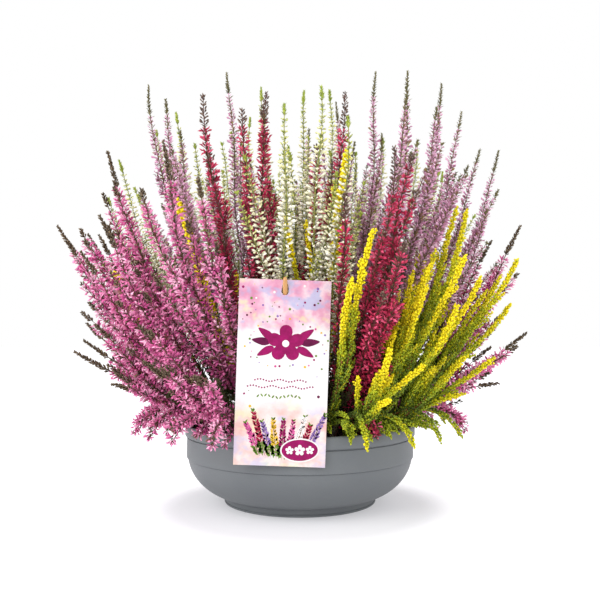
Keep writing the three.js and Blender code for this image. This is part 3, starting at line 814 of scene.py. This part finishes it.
class Nodes:
    """A small helper for building a material's node tree."""

    def __init__(self, name, specular=0.5):
        self.material = bpy.data.materials.new(name)
        self.material.use_nodes = True
        self.tree = self.material.node_tree
        self.tree.nodes.clear()
        out = self.node("ShaderNodeOutputMaterial")
        self.shader = self.node("ShaderNodeBsdfPrincipled")
        self.shader.inputs["Specular IOR Level"].default_value = specular
        self.link(self.shader.outputs[0], out.inputs[0])

    def node(self, kind, *values, **settings):
        """A node with these settings, its first sockets filled in turn."""
        made = self.tree.nodes.new(kind)
        for key, setting in settings.items():
            setattr(made, key, setting)
        for value, socket in zip(values, made.inputs):
            self.link(value, socket)
        return made

    def link(self, value, socket):
        """Fills a socket with another node's output or with a constant."""
        if hasattr(value, "is_output"):
            self.tree.links.new(value, socket)
        else:
            socket.default_value = value

    def math(self, operation, a, b):
        return self.node("ShaderNodeMath", a, b, operation=operation).outputs[0]

    def times(self, a, b):
        return self.math("MULTIPLY", a, b)

    def weighed(self, a, b, share):
        """This share of a and the rest of b."""
        return self.math("ADD", self.times(a, share), self.times(b, 1 - share))

    def span(self, value, from_low, from_high, to_low=0.0, to_high=1.0, kind="LINEAR"):
        return self.node(
            "ShaderNodeMapRange", value, from_low, from_high, to_low, to_high,
            interpolation_type=kind).outputs[0]

    def soft(self, value, from_low, from_high, to_low=0.0, to_high=1.0):
        return self.span(value, from_low, from_high, to_low, to_high, "SMOOTHSTEP")

    def noise(self, vector, scale, detail=2.0, roughness=0.5):
        return self.node("ShaderNodeTexNoise", vector, 0.0, scale, detail, roughness).outputs["Fac"]

    def position(self):
        return self.node("ShaderNodeNewGeometry").outputs["Position"]

    def split(self, vector):
        return self.node("ShaderNodeSeparateXYZ", vector).outputs

    def vector_math(self, operation, vector, by):
        return self.node("ShaderNodeVectorMath", vector, by, operation=operation).outputs

    def stretch(self, vector, scale):
        return self.vector_math("MULTIPLY", vector, scale)[0]

    def ramp(self, value, *stops):
        """Colours by value; without places they stand at even distances."""
        if isinstance(stops[0], str):
            stops = [(k / (len(stops) - 1), colour) for k, colour in enumerate(stops)]
        made = self.node("ShaderNodeValToRGB", value)
        elements = made.color_ramp.elements
        while len(elements) < len(stops):
            elements.new(0.5)
        for element, (place, colour) in zip(elements, stops):
            element.position = place
            element.color = linear(colour)
        return made.outputs[0]

    def mix(self, fac, a, b):
        made = self.node("ShaderNodeMix", fac, data_type="RGBA")
        self.link(a, made.inputs[6])
        self.link(b, made.inputs[7])
        return made.outputs[2]

    def surface(self, colour, value, *roughness, middle=0.2):
        """The base colour, and a roughness that follows a value over the middle of its range."""
        self.link(colour, self.shader.inputs["Base Color"])
        rough = self.span(value, 0.5 - middle, 0.5 + middle, *roughness)
        self.link(rough, self.shader.inputs["Roughness"])

    def bump(self, height, strength, distance):
        made = self.node("ShaderNodeBump")
        made.inputs["Strength"].default_value = strength
        made.inputs["Distance"].default_value = distance
        self.link(height, made.inputs["Height"])
        self.link(made.outputs[0], self.shader.inputs["Normal"])


def organ_material(name, row, tones, shade_base_to_tip, roughness):
    """tones are the colours across the map, shade_base_to_tip the brightness along an organ, darker
    at its base: painted shade on florets, leaves, tips and scales.
    """
    nodes = Nodes(name, 0.35)
    place = nodes.node("ShaderNodeUVMap", uv_map=UV_NAME).outputs[0]
    x, y, _ = nodes.split(place)
    colour = nodes.ramp(x, *tones)
    veins = nodes.noise(nodes.stretch(place, (260.0, 26.0, 1.0)), 1.0, 2.0, 0.6)
    blotch = nodes.noise(nodes.stretch(place, (60.0, 14.0, 1.0)), 1.0, 1.0)
    # The curve paints shade along the organ: darker at its base, lighter at its end.
    curve = nodes.node("ShaderNodeFloatCurve")
    points = curve.mapping.curves[0].points
    while len(points) < len(shade_base_to_tip):
        points.new(1, 1)
    for point, (along, bright) in zip(points, shade_base_to_tip):
        point.location = (along, bright / 2)
    curve.mapping.update()
    nodes.link(nodes.span(y, *ROWS[row]), curve.inputs["Value"])
    value = nodes.times(curve.outputs[0], 2.0)
    value = nodes.times(value, nodes.span(veins, 0.25, 0.75, 0.78, 1.22))
    value = nodes.times(value, nodes.span(blotch, 0.3, 0.7, 0.78, 1.22))
    shaded = nodes.node("ShaderNodeHueSaturation")
    nodes.link(colour, shaded.inputs["Color"])
    nodes.link(value, shaded.inputs["Value"])
    nodes.surface(shaded.outputs[0], veins, roughness - 0.1, roughness + 0.1, middle=0.3)
    nodes.bump(veins, 0.35, 0.00025)
    return nodes.material


# Brightness from an organ's base to its end. On florets, leaves, tips and scales it is painted shade,
# darker at the base where they crowd the stem; stems are a little darker towards their base.
PETAL_SHADE = [(0.0, 0.46), (0.35, 0.86), (0.75, 1.12), (1.0, 1.22)]
CREAM_SHADE = [(0.0, 0.85), (0.4, 1.0), (1.0, 1.08)]
GREEN_SHADE = [(0.0, 0.6), (0.6, 0.95), (1.0, 1.1)]
SCALE_SHADE = [(0.0, 0.86), (0.5, 1.02), (1.0, 1.12)]
EVEN = [(0.0, 0.85), (1.0, 1.1)]
USUAL = {FLORET: (PETAL_SHADE, 0.6), LEAF: (GREEN_SHADE, 0.6), TIP: (GREEN_SHADE, 0.6), STEM: (EVEN, 0.75)}
FINISHES = {
    "p": {
        FLORET: ([(0.05, "7c5248"), (0.15, "b03a7c"), (0.38, "d8669f"), (0.65, "e88fb9"),
                  (1.0, "f9c6dc")],),
        LEAF: (["35461f", "4a4a26", "665334"],),
        TIP: (["463c2c", "655643", "88765a"],),
        STEM: (["4a3526", "7a5a42"],)},
    "c": {
        FLORET: ([(0.0, "6f0d2c"), (0.35, "a51b43"), (0.65, "c8325a"), (1.0, "e46386")],
                 PETAL_SHADE, 0.55),
        LEAF: (["343f1c", "4a4224", "64492f"],),
        TIP: (["4a3a31", "6c564a", "8f7664"],),
        STEM: (["472a26", "6f4640"],)},
    "l": {
        FLORET: ([(0.06, "8a7448"), (0.2, "a8708c"), (0.38, "cb8fb2"), (0.65, "deacc8"),
                  (1.0, "f3d3e3")],),
        LEAF: (["474c1f", "675c2e", "857040"],),
        TIP: (["50502f", "6c6840", "8c8258"],),
        STEM: (["5c4d3f", "8b7763"],)},
    "w": {
        FLORET: (["b0ba48", "d5d678", "f0edb8", "fbf8dc", "fffdf0"], CREAM_SHADE, 0.55),
        LEAF: (["3f5622", "5f7432", "8ea24c"],),
        TIP: (["7f9333", "9fb041", "c0c863"], GREEN_SHADE, 0.55),
        STEM: (["74753a", "a5a55a"],)},
    "y": {
        LEAF: (["4b5d1e", "7b8f20", "b0ba1c", "efdb0e", "ffec18"], SCALE_SHADE, 0.5),
        STEM: ([(0.0, "7a4a22"), (0.4, "a8683a"), (0.6, "8f8a28"), (0.95, "d9cc22")], EVEN, 0.7)},
}


def heather_materials(kind):
    return {row: organ_material(f"{NAMES[kind]}_{PARTS[row]}", row, tones, *(own or USUAL[row]))
            for row, (tones, *own) in FINISHES[kind].items()}


def plastic_material():
    nodes = Nodes("bowl_plastic", 0.4)
    place = nodes.position()
    fine = nodes.noise(place, 1800.0)
    cloud = nodes.noise(place, 22.0, 3.0)
    colour = nodes.ramp(nodes.weighed(fine, cloud, 0.35), (0.3, "62666a"), (0.7, "6c7072"))
    nodes.surface(colour, cloud, 0.46, 0.58)
    nodes.bump(fine, 0.25, 0.00025)
    return nodes.material


def soil_material():
    nodes = Nodes("soil_peat")
    place = nodes.position()
    crumbs = nodes.noise(place, 260.0, 4.0, 0.65)
    grit = nodes.noise(place, 900.0, 2.0, 0.6)
    colour = nodes.ramp(
        crumbs, (0.3, "140e0a"), (0.5, "2b2018"), (0.62, "453424"), (0.75, "6b523a"))
    nodes.surface(colour, grit, 0.85, 1.0)
    nodes.bump(nodes.math("ADD", crumbs, nodes.times(grit, 0.4)), 0.9, 0.0015)
    return nodes.material


def wood_material():
    nodes = Nodes("stick_wood")
    turned = nodes.node("ShaderNodeMapping", nodes.position(), (0, 0, 0), (-STICK_LEAN, 0, 0))
    grain = nodes.noise(nodes.stretch(turned.outputs[0], (1500.0, 1500.0, 60.0)), 1.0, 3.0, 0.6)
    broad = nodes.noise(nodes.stretch(turned.outputs[0], (500.0, 500.0, 20.0)), 1.0)
    colour = nodes.ramp(
        nodes.weighed(grain, broad, 0.6), (0.3, "a9763f"), (0.5, "cf9c63"), (0.7, "e3bb86"))
    nodes.surface(colour, grain, 0.6, 0.8)
    nodes.bump(grain, 0.5, 0.0003)
    return nodes.material


def card_material():
    """A white card with pale washes of many colours at its top and foot, edges in metres."""
    nodes = Nodes("tag_card")
    place = nodes.position()
    flow = nodes.noise(place, 28.0, 4.0, 0.6)
    bloom = nodes.noise(place, 62.0, 3.0, 0.55)
    drift = nodes.noise(nodes.stretch(place, (1.0, 1.0, 1.4)), 41.0, 3.0, 0.6)
    ragged = nodes.times(nodes.math("SUBTRACT", flow, 0.5), 0.05)
    height = nodes.math("ADD", nodes.split(place)["Z"], ragged)
    cool = nodes.times(nodes.soft(drift, 0.52, 0.64), 0.75)
    warm = nodes.times(nodes.soft(drift, 0.44, 0.34), 0.7)
    top = nodes.ramp(bloom, (0.3, "c47396"), (0.45, "d496b0"), (0.58, "dec3cb"), (0.7, "b2a0c4"))
    top = nodes.mix(warm, nodes.mix(cool, top, linear("9fa6cc")), linear("dfcf9c"))
    foot = nodes.ramp(bloom, (0.3, "d48c80"), (0.45, "d9aea6"), (0.6, "dfd0cb"), (0.72, "bccaa8"))
    foot = nodes.mix(warm, nodes.mix(cool, foot, linear("b7afd0")), linear("d8d49a"))
    at_top = nodes.times(nodes.soft(height, 0.166, 0.178), 0.95)
    at_foot = nodes.times(nodes.soft(height, 0.118, 0.096), 0.8)
    colour = nodes.mix(at_foot, nodes.mix(at_top, linear("dedcdc"), top), foot)
    fibre = nodes.noise(place, 1600.0)
    nodes.surface(colour, fibre, 0.42, 0.52)
    nodes.bump(fibre, 0.12, 0.0001)
    return nodes.material


def print_material(name, dark, light):
    nodes = Nodes(name, 0.2)
    wash = nodes.noise(nodes.position(), 240.0, 3.0, 0.6)
    nodes.surface(nodes.ramp(wash, (0.3, dark), (0.7, light)), wash, 0.5, 0.6)
    return nodes.material


# Bowl, soil and stick
WALL = 2.6
RIM_RADIUS = 113.5
BOWL_SIDES = 144
LEDGE_HEIGHT = 45.0
DRAIN_COUNT, DRAIN_RADIUS, DRAIN_CIRCLE = 4, 5.0, 42
SOIL_SIDES, SOIL_RINGS = 120, 44
SOIL_EDGE = 108.2
SOIL_FLOOR = 2.95
SOIL_GAP = 0.5  # between the peat and the bowl's wall


def body_radius(height):
    """The bowl's outside below its ledge, a quarter of an ellipse."""
    return 60 + 51 * math.sqrt(1 - ((50 - height) / 45) ** 2)


def bowl_profile():
    """The bowl's half-profile, as the source has it, with rounded edges and more points."""
    ledge = body_radius(LEDGE_HEIGHT)
    above = ledge + 1.3
    return [
        (0, 0), (40, 0), (73.6, 0), (74.7, 0.4), (75.1, 1.2), (75.0, 2.0), (74.3, 2.3), (74.2, 2.9),
        (74.8, 3.2), (74.9, 4.6), (74.9, 6.4),
        *((body_radius(z), z) for z in np.linspace(7.0, LEDGE_HEIGHT, 22)),
        (ledge - 0.25, 45.3), (ledge + 0.9, 45.55), (ledge + 1.2, 45.95), (above, 46.5),
        *((above + (111.7 - ledge - 1.3) * t, 46.5 + (66.9 - 46.5) * t)
          for t in (0.2, 0.45, 0.7, 0.92)),
        (110.9, 65.9), (110.9, 66.9), (113.1, 67.1), (RIM_RADIUS, 67.6), (RIM_RADIUS, 71),
        (RIM_RADIUS, 75.6), (113.3, 76.7), (112.8, 77.6), (112.0, BOWL_HEIGHT), (111.2, 77.9),
        (110.5, 77.4), (110.0, 76.4), (109.0, 66), (108.6, 52),
        *((body_radius(z) - WALL, z) for z in np.linspace(46, 7.5, 12)),
        (70.5, 2.7), (55, WALL), (0, WALL)]


def ring_points(radius, height, sides, shift=0.0):
    turns = [2 * math.pi * (k + shift) / sides for k in range(sides)]
    return [(radius * math.cos(turn), radius * math.sin(turn), height) for turn in turns]


def turned_object(name, rings, first, last, material, downward=False):
    """A closed solid through rings of points, with a point in the middle of each end.

    downward: the rings start at the middle of the top, and not of the foot.
    """
    sides = len(rings[0])
    end = (len(rings) - 1) * sides
    faces = []
    for row in range(0, end, sides):
        for k in range(sides):
            a, b = row + k, row + (k + 1) % sides
            faces.append((a, b, b + sides, a + sides))
    for k in range(sides):
        faces.append((end + sides, (k + 1) % sides, k))
        faces.append((end + sides + 1, end + k, end + (k + 1) % sides))
    if downward:
        faces = [(face[0], *face[:0:-1]) for face in faces]
    points = [point for ring in rings for point in ring] + [(0, 0, first), (0, 0, last)]
    return solid_object(name, points, faces, material)


def make_bowl():
    profile = bowl_profile()
    rings = [ring_points(radius, z, BOWL_SIDES) for radius, z in profile if radius > 0]
    material = plastic_material()
    bowl = turned_object("planter_bowl", rings, profile[0][1], profile[-1][1], material)
    cutters = Collected()
    for i in range(DRAIN_COUNT):
        centre, _ = DRAIN_CIRCLE * np.array(heading((i + 0.5) * 2 * math.pi / DRAIN_COUNT))
        course = straight(centre - (0, 0, 2), np.array([0, 0, 1]), 8.0)
        tube(cutters, course, [0.0, 8.0], [DRAIN_RADIUS, DRAIN_RADIUS], 32, 0.5)
    cutter = cutters.object("drain_cutter", {})
    cut = bowl.modifiers.new("drains", "BOOLEAN")
    cut.operation, cut.object, cut.solver = "DIFFERENCE", cutter, "EXACT"
    evaluated = bowl.evaluated_get(bpy.context.evaluated_depsgraph_get())
    mesh = bpy.data.meshes.new_from_object(evaluated)
    bowl.modifiers.clear()
    bowl.data = mesh
    bpy.data.objects.remove(cutter)
    mesh.materials.clear()
    mesh.materials.append(material)
    mesh.shade_smooth()
    mesh.set_sharp_from_angle(angle=40 * DEGREE)
    return bowl


def crumbly(x, y, z):
    """The height of the soil's top at a point, with its lumps and crumbs."""
    lump = noise.fractal(Vector((x, y, 3)) * 0.16, 0.9, 2.2, 3)
    crumb = noise.fractal(Vector((x, y, 9)) * 0.6, 0.9, 2.2, 2)
    return z + 0.8 * lump + 0.9 * crumb


def make_soil():
    """A flat filling of peat with a crumbly top."""
    rings = []
    for i in range(1, SOIL_RINGS + 1):
        radius = SOIL_EDGE * (i / SOIL_RINGS) ** 0.9
        fall = 0.0 if radius < SOIL_EDGE - 6 else -0.25 * (radius - SOIL_EDGE + 6)
        rings.append([
            (x, y, crumbly(x, y, z) + fall - 0.6)
            for x, y, z in ring_points(radius, SOIL_HEIGHT, SOIL_SIDES, 0.5 * (i % 2))])
    wall = [(body_radius(z) - (WALL + SOIL_GAP), z) for z in (42, 34, 26, 20, 15, 11.5, 9, 7.6)]
    for radius, z in [
            (SOIL_EDGE, 60), (107.8, 47.5), *wall, (70.0, SOIL_FLOOR), (0.5, SOIL_FLOOR)]:
        rings.append(ring_points(radius, z, SOIL_SIDES))
    return turned_object("peat", rings, SOIL_HEIGHT, SOIL_FLOOR, soil_material(), downward=True)


def make_stick():
    """A split wooden stick, slightly uneven, that narrows to its end."""
    length = (SLOT_AT[2] - SOIL_HEIGHT) / STICK_WAY[2] + STICK_BURIED + STICK_PROUD
    course = straight(SLOT_AT + STICK_WAY * (STICK_PROUD - length), STICK_WAY, length)
    stops = np.concatenate([
        [0, 2], np.linspace(8, length - 9, 14), [length - 5, length - 2, length - 0.6, length]])
    radii = np.interp(stops, [0, 2, length - 9, length - 2, length - 0.6, length],
                      [1.2, 2.05, STICK_RADIUS, 1.75, 1.45, 0.9])
    wave = 1 + 0.03 * np.sin(stops / 7.0) + 0.02 * np.sin(stops / 2.3)
    stick = Collected()
    tube(stick, course, stops, radii * np.minimum(wave, 1.0), 14, 0.5)
    made = stick.object("tag_stick_wood", {STEM: wood_material()})
    made.data.set_sharp_from_angle(angle=50 * DEGREE)
    return made


# The card's print: a berry blossom between leaves, sprigs of heather and confetti dots, as thin
# solids on its front. Places on the card are from its middle to the right and up.
PRINT_RISE = 0.06
INKS = {
    "berry": ("7c0048", "98065c"), "plum": ("4c0030", "660842"), "pink": ("b83078", "d0649c"),
    "lilac": ("7a5c9c", "9a7cb6"), "green": ("4f7022", "739036"), "yellow": ("c8981e", "dfbc3a"),
    "crimson": ("900c30", "b02850"), "chalk": ("dcd6d4", "e6e2e0"), "brown": ("5c4838", "78614c"),
}
SPRIG_INKS = ("pink", "crimson", "lilac", "yellow", "berry", "pink", "chalk", "crimson", "lilac")
RING_DOTS = 34
LOOSE_DOTS, DOTS_ABOVE = 64, 44


def card_point(u, v, rise):
    return TAG_CENTRE + u * TAG_RIGHT + v * TAG_UP - np.array([0, TAG_HALF[1] + rise, 0])


def ellipse(centre, long, wide, turn=0.0, sides=10, point=0.0):
    """An outline around a centre; point pinches its far end, as on a leaf or a petal."""
    angle = np.arange(sides) * 2 * math.pi / sides
    x = long * np.cos(angle)
    y = wide * np.sin(angle) * (1 - point * np.clip(np.cos(angle), -0.3, 1))
    c, s = math.cos(turn), math.sin(turn)
    return np.stack([centre[0] + c * x - s * y, centre[1] + s * x + c * y], 1)


def printed(outlines):
    """Thin closed solids, one for each (ink, outline, layer)."""
    inks = list(INKS)
    points, faces, wears = [], [], []
    for ink, outline, layer in outlines:
        n, first = len(outline), len(points)
        top = n + 1
        for rise in (-0.01, PRINT_RISE * (1 + layer)):
            points += [card_point(u, v, rise) for u, v in [*outline, outline.mean(0)]]
        for k in range(n):
            a, b = first + k, first + (k + 1) % n
            faces += [
                (a, a + top, b + top, b), (first + n, a, b), (first + n + top, b + top, a + top)]
        wears += [inks.index(ink)] * 3 * n
    made = solid_object(
        "tag_print", points, faces, *(print_material(f"ink_{ink}", *INKS[ink]) for ink in inks))
    made.data.polygons.foreach_set("material_index", np.array(wears, np.int32))
    made.data.update()
    return made


def blossom_outlines(centre, radius, ink, heart, layer):
    for k in range(5):
        turn = math.pi / 2 + 2 * math.pi * k / 5
        at = centre + 0.56 * radius * np.array([math.cos(turn), math.sin(turn)])
        yield ink, ellipse(at, 0.5 * radius, 0.36 * radius, turn, 18, -0.25), layer + 0.15 * k
    yield heart, ellipse(centre, 0.2 * radius, 0.2 * radius, sides=16), layer + 1.0


def sprig_outlines(foot, height, lean, ink, rng):
    """A painted sprig: a thin stem with loose drops to both sides and small leaves low down."""
    way = np.array([math.sin(lean), math.cos(lean)])
    across = np.array([way[1], -way[0]])
    turn = math.atan2(way[1], way[0])
    yield "brown", ellipse(foot + way * height / 2, height / 2, 0.4, turn, 8), 0.0
    count = int(height / 1.6)
    for k in range(count):
        t = 0.12 + 0.88 * k / count
        for side in (-1, 1):
            off = (2.9 - 2.0 * t) * rng.uniform(0.6, 1.2)
            at = foot + way * (t * height + rng.uniform(-0.6, 0.6)) + across * side * off
            colour = "green" if t < 0.34 or t > 0.93 else ink
            size = (2.35 - 0.9 * t) * rng.uniform(0.75, 1.2)
            drop_turn = turn - side * rng.uniform(0.5, 1.0)
            yield colour, ellipse(at, size, 0.46 * size, drop_turn, 8, 0.3), 0.2


def make_print():
    rng = np.random.default_rng(SEED)
    shapes = []
    heart = np.array([2.0, 25.0])
    for side in (-1, 1):
        leaves = ((21.0, 1.5, 0.12), (17.0, -7.0, -0.5), (17.0, 8.0, 0.62))
        for k, (reach, lift, turn) in enumerate(leaves):
            at = heart + np.array([side * reach, lift])
            way = turn if side > 0 else math.pi - turn
            ink = "plum" if k == 0 else "berry"
            shapes.append((ink, ellipse(at, 8.0, 3.2, way, 18, 0.45), 0.1 * k))
    shapes += blossom_outlines(heart, 15.0, "berry", "chalk", 0.3)
    for k in range(RING_DOTS):
        around = 2 * math.pi * (k + rng.uniform(-0.3, 0.3)) / RING_DOTS
        way = np.array([33 * math.cos(around), 20 * math.sin(around)])
        at = heart + rng.uniform(0.9, 1.1) * way
        ink = ("berry", "green", "lilac", "yellow", "pink")[k % 5]
        size = rng.uniform(0.45, 1.1)
        shapes.append((ink, ellipse(at, size, size), 0.3))
    for k, ink in enumerate(SPRIG_INKS):
        fan = k - len(SPRIG_INKS) // 2
        foot = np.array([4.6 * fan + 2, -74.0 + abs(fan) * 0.6])
        shapes += sprig_outlines(
            foot, rng.uniform(34, 50) - abs(fan), 0.11 * fan + rng.uniform(-0.05, 0.05), ink, rng)
        at = foot + np.array([2.2 + 0.8 * fan, 9])
        shapes.append(("green", ellipse(at, 9, 0.7, math.pi / 2 - 0.1 * fan, 10, 0.4), 0.1))
    for k in range(LOOSE_DOTS):
        above = k < DOTS_ABOVE
        u = rng.uniform(-36, 36)
        v = rng.uniform(40, 75) if above else rng.uniform(-34, 6)
        if abs(u) < 7 and v > 60 or abs(u - heart[0]) < 32 and abs(v - heart[1]) < 18:
            continue  # by the slot or on the blossom
        if not above and abs(u) < 26:
            continue
        ink = ("berry", "green", "lilac", "yellow", "chalk", "plum", "pink")[rng.integers(0, 7)]
        size = rng.uniform(0.4, 1.25)
        shapes.append((ink, ellipse((u, v), size, size), 0.3))
    # Garlands of dots and small leaves cross the white middle.
    garlands = (
        ("berry", -6.5, 46, 2.4, 0.8), ("berry", -12.0, 58, 2.4, 0.8), ("green", -20.0, 40, 3.2, 1.6))
    for ink, v, width, step, long in garlands:
        for i in range(int(width / step)):
            at = (step * i - width / 2, v + 0.9 * math.sin(0.9 * i))
            shapes.append((ink, ellipse(at, long, 0.7, 0.9 * (-1) ** i, 8), 0.0))
    badge = np.array([17.0, -65.0])
    shapes.append(("chalk", ellipse(badge, 16.6, 10.2, 0.05, 30), 0.6))
    shapes.append(("berry", ellipse(badge, 15.4, 9.0, 0.05, 30), 1.0))
    for k in (-1, 0, 1):
        at = badge + np.array([8.6 * k, 0.4 * k])
        shapes += blossom_outlines(at, 4.4 - abs(k), "chalk", "pink", 1.4)
    return printed(shapes)


# Camera. The shift is in pixels of the photograph.
CAMERA_AT = (0, -0.750, 0.170)
SHIFT_PIXELS, PHOTO_PIXELS = 29.3, 600
bpy.ops.object.camera_add(location=CAMERA_AT, rotation=(math.pi / 2, 0, 0))
camera = bpy.context.object
camera.data.lens = 45
camera.data.sensor_width = 36
camera.data.shift_y = SHIFT_PIXELS / PHOTO_PIXELS
camera.data.clip_start, camera.data.clip_end = 0.01, 50
bpy.context.scene.camera = camera


def settle(piece, node):
    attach(piece, "root")
    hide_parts(node)


finishes = {kind: heather_materials(kind) for kind in NAMES}
for plant in make_plants():
    piece = make_plant(plant, finishes[plant.kind])
    settle(piece, plant.name)

settle(make_bowl(), "bowl")
settle(make_soil(), "soil")
settle(make_stick(), "tag_stick")
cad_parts["tag"].data.materials.clear()
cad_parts["tag"].data.materials.append(card_material())

card_print = make_print()
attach(card_print, "root")

# The floor glows white, but for a painted shadow: a soft grey disc under the bowl, where the glow is
# lower and the lamps light more of it.
PAINTED_SHADOW_CENTRE = (0, -0.026, 0)
PAINTED_SHADOW_RADII = (0.112, 0.165)
PAINTED_SHADOW_GLOW, FLOOR_GLOW = 0.37, 0.76
bpy.ops.mesh.primitive_plane_add(size=12, location=(0, 0, 0))
floor = bpy.context.object
floor.name = "floor"
ground = Nodes("floor_white_painted_shadow", 0.1)
ground.shader.inputs["Roughness"].default_value = 0.9
spot = ground.position()
tint = ground.ramp(ground.noise(spot, 2.0), (0.3, "bababe"), (0.7, "bdbdc0"))
ground.link(tint, ground.shader.inputs["Base Color"])
distance = ground.vector_math("DISTANCE", spot, PAINTED_SHADOW_CENTRE)["Value"]
# Painted shadow: the glow drops inside a disc under the bowl.
glow = ground.soft(distance, *PAINTED_SHADOW_RADII, PAINTED_SHADOW_GLOW, FLOOR_GLOW)
ground.shader.inputs["Emission Color"].default_value = (0.985, 0.975, 1.0, 1)
ground.link(glow, ground.shader.inputs["Emission Strength"])
floor.data.materials.append(ground.material)

world = bpy.data.worlds.new("studio")
bpy.context.scene.world = world
world.use_nodes = True
world.node_tree.nodes["Background"].inputs["Color"].default_value = (1.0, 1.0, 1.0, 1)
world.node_tree.nodes["Background"].inputs["Strength"].default_value = 1.0


def area_light(name, place, size, power):
    """A round lamp that points at the middle of the planting."""
    data = bpy.data.lights.new(name, "AREA")
    data.shape, data.size, data.energy = "DISK", size, power
    lamp = new_object(name, data)
    lamp.location = place
    way = Vector((0, 0, 0.2)) - Vector(place)
    lamp.rotation_euler = way.to_track_quat("-Z", "Y").to_euler()


area_light("key", (-1.8, -1.3, 1.8), 2.6, 55)
area_light("fill", (1.6, -1.4, 1.6), 1.8, 9)
bpy.context.scene.view_settings.view_transform = "Standard"
